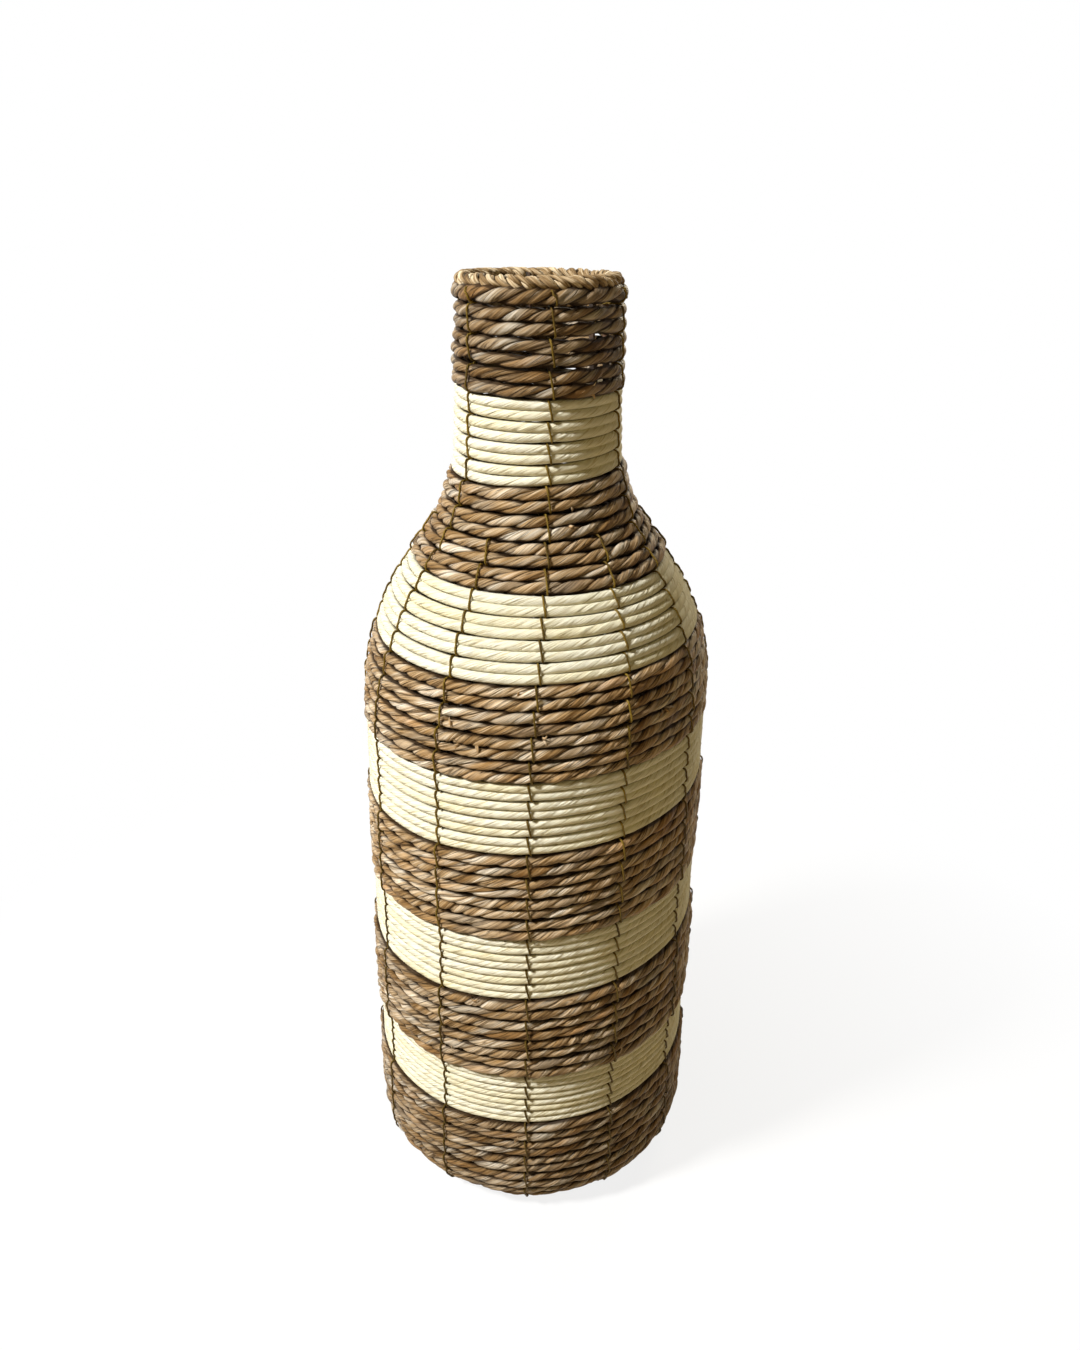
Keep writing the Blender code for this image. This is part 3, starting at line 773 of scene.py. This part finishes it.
def endTaper(along, reach, least=0.02):
    # 1 along the rope, and rounded at both of its ends
    near = np.clip(np.minimum(along, along[-1] - along) / reach, least, 1)
    return np.sqrt(1 - (1 - near) ** 2)


def ropeMiddle(kind, firstRow, rows, seed, extraTurn=0.0):
    # The rope's middle in even steps: lengths along it, points, outward and crosswise directions, and radius
    coarse = np.linspace(0, rows + extraTurn, rows * rowPlay["countsPerRow"])
    angle, length, out, _ = ropeLine(kind, firstRow, coarse, seed)
    lengths = lengthsAlong(onWall(angle, length, out)[0])
    steps = min(int(lengths[-1] / ropeKinds[kind]["step"]), rowPlay["mostSteps"])
    along = np.linspace(0, lengths[-1], steps + 1)
    angle, length, out, radius = ropeLine(kind, firstRow, np.interp(along, lengths, coarse), seed)
    points, outward = onWall(angle, length, out)
    return along, points, *strandFrames(points, outward), radius * endTaper(along, ropeKinds[kind]["taper"])


leafPly = {
    "twist": (38.0 * mm, 39.0 * mm),  # length of a full twist at the rim, and from this row on
    "twistRows": 45,
    "twistPlay": (0.26, 0.38),  # in the neck's brown rope, and in the others
    "twistReach": 35.0 * mm,
    "share": (0.20, 0.28),  # in the same, how much more than half of the rope a ply takes here and there
    "shareReach": 16.0 * mm,
    "swell": 0.06,
    "swellReach": 12.0 * mm,
    "arcPoints": 15,
    # How far out a ply reaches, of the radius, and how it falls off towards its edges
    "top": 1.04,
    "round": 0.13,
    "edge": 0.30,
    "edgePower": 3.5,
    "innerReach": 0.4,
    "folds": 3,
    "foldPlace": 0.7,
    "foldSway": 0.5,
    "foldSwayReach": 20.0 * mm,
    "foldLeast": 0.35,
    "foldReach": 12.0 * mm,
    "foldDepth": 0.16,
    "foldWidth": 0.17,
    # Painted shade where a ply turns away from the wall's outside, at its edges, and in its folds
    "turned": (0.74, 0.40),
    "groove": (0.80, 0.20, 0.50),
    "foldPaintedShade": 0.30,
    "way": 4.6,  # round a ply, of its radius
}
mostNumber = 90  # strands' own numbers, which set their patterns apart


def plyFolds(along, arc, seed, chance):
    # How deep each point of a ply lies in its lengthwise folds, from 0 to 1
    fold = np.zeros((len(along), len(arc)))
    for k in range(leafPly["folds"]):
        sway = leafPly["foldSway"] * softNoise(along / leafPly["foldSwayReach"], seed + 20 + k)
        middle = (chance.uniform(-leafPly["foldPlace"], leafPly["foldPlace"]) + sway)[:, None]
        deep = leafPly["foldLeast"] + softNoise(along / leafPly["foldReach"], seed + 30 + k)
        fold += np.clip(deep, 0, 1)[:, None] * np.exp(-(((arc - middle) / leafPly["foldWidth"]) ** 2))
    return np.minimum(fold, 1)


def leafStrands(firstRow, rows, seed, dark, extraTurn=0.0):
    # The rope's two plies, which are wound round each other
    along, points, outward, across, radius = ropeMiddle("leaf", firstRow, rows, seed, extraTurn)
    part = int(firstRow > 0)
    twist = np.interp(firstRow + rows / 2, (0, leafPly["twistRows"]), leafPly["twist"])
    twist = twist * (1 + leafPly["twistPlay"][part] * softNoise(along / leafPly["twistReach"], seed + 3))
    turned = -fullTurn * np.cumsum(np.gradient(along) / twist)
    half = math.pi / 2 * (1 + leafPly["share"][part] * softNoise(along / leafPly["shareReach"], seed + 4))
    arc = np.linspace(-1, 1, leafPly["arcPoints"])
    profile = leafPly["top"] - leafPly["round"] * arc**2 - leafPly["edge"] * np.abs(arc) ** leafPly["edgePower"]
    turnedFrom, turnedSpan = leafPly["turned"]
    grooveFrom, grooveSpan, groovePaintedShade = leafPly["groove"]
    groove = groovePaintedShade * np.clip((np.abs(arc) - grooveFrom) / grooveSpan, 0, 1)
    strands = []
    for ply in (0, 1):
        own = seed + 10 + 7 * ply
        chance = np.random.default_rng(own)
        wide = half if ply == 0 else math.pi - half
        size = (radius * (1 + leafPly["swell"] * softNoise(along / leafPly["swellReach"], own)))[:, None]
        fold = plyFolds(along, arc, own, chance)
        middle = (turned + ply * math.pi)[:, None]
        direction = middle + arc * wide[:, None]
        reach = size * (profile - leafPly["foldDepth"] * fold)
        # Two more points on the side where the plies touch
        inner = middle + np.array([0.5, -0.5]) * math.pi
        x, y = (
            np.concatenate([reach * wave(direction), leafPly["innerReach"] * size * wave(inner)], axis=1)
            for wave in (np.cos, np.sin)
        )
        rings = points[:, None, :] + x[..., None] * outward[:, None, :] + y[..., None] * across[:, None, :]
        rings[..., 2] = np.maximum(rings[..., 2], 0.0)  # pressed flat where the vase stands
        turnedAway = np.clip((turnedFrom - np.abs(np.cos(direction))) / turnedSpan, 0, 1)
        # Painted shade where the ply turns away, at its edges and in its folds, added to the band's own darker tone;
        # the two inner points are fully shaded
        paintedShadeAndTone = dark + np.maximum(turnedAway, groove) + leafPly["foldPaintedShade"] * fold
        paintedShadeAndTone = np.concatenate([np.clip(paintedShadeAndTone, 0, 1), np.ones((len(along), 2))], axis=1)
        girth = lengthsRound(x.shape[1], float(leafPly["way"] * np.median(radius)))
        strands.append((rings, along, girth, paintedShadeAndTone, chance.uniform(0, mostNumber)))
    return strands


huskPly = {
    "sides": 14,
    "twist": 35.0 * mm,
    "ridges": 0.020,
    "ridgeWaves": ((5, 2, 1.0, 0.0), (3, -3, 0.6, 1.0)),  # count round the rope, drift, size and turn
    "driftReach": 30.0 * mm,
    "numberStep": 1.7,
}


def huskStrands(firstRow, rows, seed):
    # One round strand with soft ridges that follow its twist
    along, points, outward, across, radius = ropeMiddle("husk", firstRow, rows, seed)
    around, side = roundSides(huskPly["sides"], outward, across)
    lay = around + (fullTurn * along / huskPly["twist"])[:, None]
    drift = softNoise(along / huskPly["driftReach"], seed + 4)[:, None]
    ridge = sum(size * np.sin(count * lay + sway * drift + turn) for count, sway, size, turn in huskPly["ridgeWaves"])
    size = radius[:, None] * (1 + huskPly["ridges"] * ridge)
    rings = points[:, None, :] + size[..., None] * side
    girth = lengthsRound(huskPly["sides"], float(fullTurn * np.median(radius)))
    return [(rings, along, girth, insideShade(around), seed * huskPly["numberStep"])]


# Ends of leaf that stick out between the rows
leafEnds = {
    # Angle in degrees and row, where the photograph shows them
    "seen": (
        (83, 1.2), (26, 7.0), (11, 18.5), (16, 17.5), (-54, 16.5), (-35, 29.0), (-5, 32.4), (-28, 34.5), (2, 35.5),
        (45, 35.5), (-18, 36.0), (-22, 36.4), (43, 53.8), (-20, 63.7), (16, 63.7), (-25, 68.5), (-28, 69.0),
        (35, 70.5), (-2, 81.4),
    ),
    "others": 46,
    "behind": (0.55 * math.pi, 1.45 * math.pi),  # where the others are
    "inside": 0.1,  # least distance from a band's edge, in rows
    "leaves": (1, 4),  # one to three at each place
    "seed": 1200,
    "reach": (3.5 * mm, 7.5 * mm),
    "wide": (0.6 * mm, 1.3 * mm),
    "narrowing": 0.75,
    "thick": 0.22 * mm,
    "heading": 0.7,
    "curl": 1.5,
    "sunk": 0.8 * mm,  # how far under the rope's middle it starts
    "lift": (2.6 * mm, 4.4 * mm),
    "rise": (1.5, 2.5),
    "risePower": 0.7,
    "paintedShadeAndTone": (0.9, 2.2),  # painted shade at its start, and how fast it fades
    "way": 2.5 * mm,
    "sides": 6,
    "steps": 9,
}


def leafEnd(angle, row, chance):
    # One thin curled end, which starts in the valley next to this row and bends out over the rope
    share = np.linspace(0, 1, leafEnds["steps"])
    reach = chance.uniform(*leafEnds["reach"])
    heading = chance.uniform(-leafEnds["heading"], leafEnds["heading"]) + (math.pi if chance.random() < 0.5 else 0)
    bend = heading + chance.uniform(-leafEnds["curl"], leafEnds["curl"]) * share
    aside = np.cumsum(np.cos(bend)) / len(share) * reach
    down = np.cumsum(np.sin(bend)) / len(share) * reach
    lift = chance.uniform(*leafEnds["lift"]) + leafEnds["sunk"]
    out = lift * np.sin(share * chance.uniform(*leafEnds["rise"])) ** leafEnds["risePower"] - leafEnds["sunk"]
    length = rowLength(row) + down
    points, outward = onWall(angle + aside / np.maximum(radiusAt(length), rowPlay["leastRadius"]), length, out)
    outward, across = strandFrames(points, outward)
    wide = chance.uniform(*leafEnds["wide"]) * (1 - leafEnds["narrowing"] * share**2)
    _, side = roundSides(leafEnds["sides"], wide[:, None] * across, leafEnds["thick"] * outward)
    # Painted shade, darkest where the end starts in the valley and fading along it
    start, fading = leafEnds["paintedShadeAndTone"]
    paintedShadeAndTone = np.clip(start - fading * share, 0, 1)[:, None]
    girth = lengthsRound(leafEnds["sides"], leafEnds["way"])
    return points[:, None, :] + side, lengthsAlong(points), girth, paintedShadeAndTone, chance.uniform(0, mostNumber)


def bandEnds(index):
    # The ends that the photograph shows on this band, and its share of the others
    chance = np.random.default_rng(leafEnds["seed"] + index)
    inside = leafEnds["inside"]
    first, last = rowStarts[index] + halfRow + inside, rowStarts[index + 1] + halfRow - inside
    ends = [(place * degree, row) for place, row in leafEnds["seen"] if first <= row <= last]
    leafRows = sum(band.rows for band in bands if band.rope == "leaf")
    for _ in range(round(leafEnds["others"] * bands[index].rows / leafRows)):
        angle = chance.uniform(*leafEnds["behind"])
        ends.append((angle, int(chance.uniform(first + halfRow, last - halfRow)) + halfRow))
    return [leafEnd(angle, row, chance) for angle, row in ends for _ in range(chance.integers(*leafEnds["leaves"]))]


for index, band in enumerate(bands):
    firstRow, seed = int(rowStarts[index]), ropeSeed(index)
    if band.rope == "leaf":
        strands = leafStrands(firstRow, band.rows, seed, band.dark) + bandEnds(index)
        strandMesh(band.piece, strands, leafRope, band.node)
    else:
        strandMesh(band.piece, huskStrands(firstRow, band.rows, seed), huskRope, band.node)

baseCoil = {"seed": 900, "dark": 0.2, "extraTurn": 0.10}
baseStrands = leafStrands(int(rowStarts[-1]), wall["baseRows"] - 1, **baseCoil)
strandMesh("baseCoilRope", baseStrands, leafRope, "base_coil")


# Stitches: each binds two rows to the rib behind them
stitch = {
    "thick": 0.60 * mm,  # the thread's radius
    "slant": 1.35 * mm,  # half of how far a stitch leans to the right on its way down
    # From valley to crown: share of the slant; down the wall and out of it, in shares of the rope's and thread's radii
    "climb": ((1.0, 1.02, 0.0, -0.2, 0.0), (0.9, 0.80, 0.5, 0.62, 1.0), (0.5, 0.15, 0.0, 1.0, 0.8)),
    "middleLift": 0.45,  # over the valley between the two rows, of the thread's radius
    "loopLength": 1.05,  # below the lower row's middle, of its radius
    "ribSide": 2.5 * mm,
    # Behind the rib: share of its side, and how far out
    "loop": (
        (0.85, -4.3 * mm), (1.0, -6.0 * mm), (0.5, -8.3 * mm),
        (-0.5, -8.3 * mm), (-1.0, -6.0 * mm), (-0.85, -4.3 * mm),
    ),
    "between": 2,
    "sway": 0.25 * mm,
    "swayReach": 20.0 * mm,
    "leastRadius": 10.0 * mm,
    "leastStep": 0.05 * mm,
    "sides": 6,
    "numberStep": 0.37,
    "starts": {"long": (0, 0, 300), "short": (2, 4, 320)},  # band, row in it, and seed
}


def stitchPoints(column, index, rowsDone, rowsHere):
    # (offset to the right, length, out) for the rows under one stitch, and for the loop behind the rib
    share = (wall["seamColumn"] - column) % wall["columns"] / wall["columns"]
    turns = np.arange(rowsDone, rowsDone + rowsHere) + share
    _, length, out, radius = ropeLine(bands[index].rope, int(rowStarts[index]), turns, ropeSeed(index))
    thick = stitch["thick"]

    def climb(row, way):
        return [
            (
                way * slant * stitch["slant"],
                length[row] + way * (down * radius[row] + downThick * thick),
                out[row] + lift * radius[row] + liftThick * thick,
            )
            for slant, down, downThick, lift, liftThick in stitch["climb"]
        ]

    points = climb(0, -1)
    if rowsHere > 1:
        crowns = (out[0] + out[-1] + radius[0] + radius[-1]) / 2
        points.append((0.0, (length[0] + length[-1]) / 2, crowns + stitch["middleLift"] * thick))
    points += reversed(climb(-1, 1))
    valley = length[-1] + stitch["loopLength"] * radius[-1]
    return points + [(side * stitch["ribSide"], valley, back) for side, back in stitch["loop"]]


def roundedLine(points, between):
    # Catmull-Rom through the points
    points = np.array(points)
    padded = np.concatenate([points[:1], points, points[-1:]])
    line = []
    for i in range(len(points) - 1):
        a, b, c, d = padded[i:i + 4]
        for t in np.arange(between) / between:
            bent = (2 * a - 5 * b + 4 * c - d) * t**2 + (3 * b - a - 3 * c + d) * t**3
            line.append(0.5 * (2 * b + (c - a) * t + bent))
    return np.array([*line, points[-1]])


def thread(name, node, column, firstBand, firstRow, seed):
    angle = column * fullTurn / wall["columns"]
    points = []
    for index in range(firstBand, len(bands)):
        rows = bands[index].rows
        row = firstRow if index == firstBand else 0
        while row < rows:
            here = 1 if (index == 0 and row == 0) or row == rows - 1 else 2
            points += stitchPoints(column, index, row, here)
            row += here
    right, length, out = roundedLine(points[:-len(stitch["loop"])], stitch["between"]).T
    chance = np.random.default_rng(seed)
    right = right + stitch["sway"] * softNoise(length / stitch["swayReach"], int(chance.integers(1000)))
    places, _ = onWall(angle + right / np.maximum(radiusAt(length), stitch["leastRadius"]), length, out)
    places[:, 2] = np.maximum(places[:, 2], stitch["thick"])
    apart = np.linalg.norm(np.diff(places, axis=0), axis=1)
    places = places[np.concatenate([[True], apart > stitch["leastStep"]])]
    step = unit(np.gradient(places, axis=0))
    side = unit(np.cross(step, [math.cos(angle), math.sin(angle), 0.0]))
    for i in range(1, len(side)):  # the sides turn as little as they can from ring to ring
        turned = side[i - 1] - (side[i - 1] @ step[i]) * step[i]
        side[i] = turned / np.linalg.norm(turned)
    _, ring = roundSides(stitch["sides"], side, np.cross(step, side))
    rings = places[:, None, :] + stitch["thick"] * ring
    girth = lengthsRound(stitch["sides"], fullTurn * stitch["thick"])
    strand = (rings, lengthsAlong(places), girth, 0.0, seed * stitch["numberStep"])
    strandMesh(name, [strand], bindingThread, node)


for number in range(1, wall["columns"] // 2 + 1):
    for column, (kind, (firstBand, firstRow, seed)) in enumerate(stitch["starts"].items(), 2 * number - 2):
        thread(f"{kind}Thread{number}", f"{kind}_thread_{number}", column, firstBand, firstRow, seed + number)


# Rim: strands of two fine plies, laid round the top hoop
rim = {
    "radius": 0.0404,
    "height": 0.5933,
    "top": 0.3 * mm,  # over the vase's height
    "wide": 3.2 * mm,
    "tall": 2.2 * mm,
    "strands": 3,
    "wraps": 15,
    "laySway": 0.22,
    "swayWaves": 9,
    "plyRadius": 1.38 * mm,
    "plyOffset": 1.00 * mm,
    "plyFlat": 0.8,
    "plyTwists": 16,
    "plyUneven": 0.10,
    "unevenWaves": 40,
    "steps": 900,
    "sides": 8,
    "swaySeed": 71,
    "unevenSeed": 80,
    "number": 13.0,
}


def onRing(angle, radius, height):
    return np.stack([radius * np.sin(angle), -radius * np.cos(angle), height + 0 * angle], axis=1)


def rimStrands():
    share = np.arange(rim["steps"]) / rim["steps"]
    angle = share * fullTurn
    opened = np.sin(share * math.pi) ** 0.5  # 0 where a strand's ends meet, so that its noise closes
    strands = []
    for strand in range(rim["strands"]):
        lay = -rim["wraps"] * angle + strand * fullTurn / rim["strands"]
        lay = lay + rim["laySway"] * (softNoise(angle * rim["swayWaves"], rim["swaySeed"] + strand) * opened)
        points = onRing(angle, rim["radius"] + rim["wide"] * np.cos(lay), rim["height"] + rim["tall"] * np.sin(lay))
        middle = onRing(angle, rim["radius"], rim["height"])
        outward, across = strandFrames(points, points - middle, closed=True)
        around, side = roundSides(rim["sides"], outward, across)
        for ply in (0, 1):
            turn = (ply * math.pi - rim["plyTwists"] * angle)[:, None]
            offset = rim["plyOffset"] * (np.cos(turn) * outward * rim["plyFlat"] + np.sin(turn) * across)
            uneven = softNoise(angle * rim["unevenWaves"], rim["unevenSeed"] + ply + 5 * strand) * opened
            size = rim["plyRadius"] * (1 + rim["plyUneven"] * uneven)
            rings = (points + offset)[:, None, :] + size[:, None, None] * side
            rings[..., 2] = np.minimum(rings[..., 2], wall["height"] + rim["top"])
            rings[..., 2] -= wall["rimTilt"] * (rings[..., 1] + wall["rimRadius"])
            girth = lengthsRound(rim["sides"], fullTurn * rim["plyRadius"])
            number = rim["number"] + 7 * strand + 3 * ply
            strands.append((rings, lengthsAlong(points), girth, insideShade(around), number))
    return strands


strandMesh("rimLashing", rimStrands(), rimStrand, "rim_lashing", closed=True)

# The wire frame keeps its CAD shape
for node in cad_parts.values():
    if any(word in node.name for word in ("rib", "hoop", "ring")):
        node.data.materials.clear()
        node.data.materials.append(paintedWire)
print("wire frame finished")
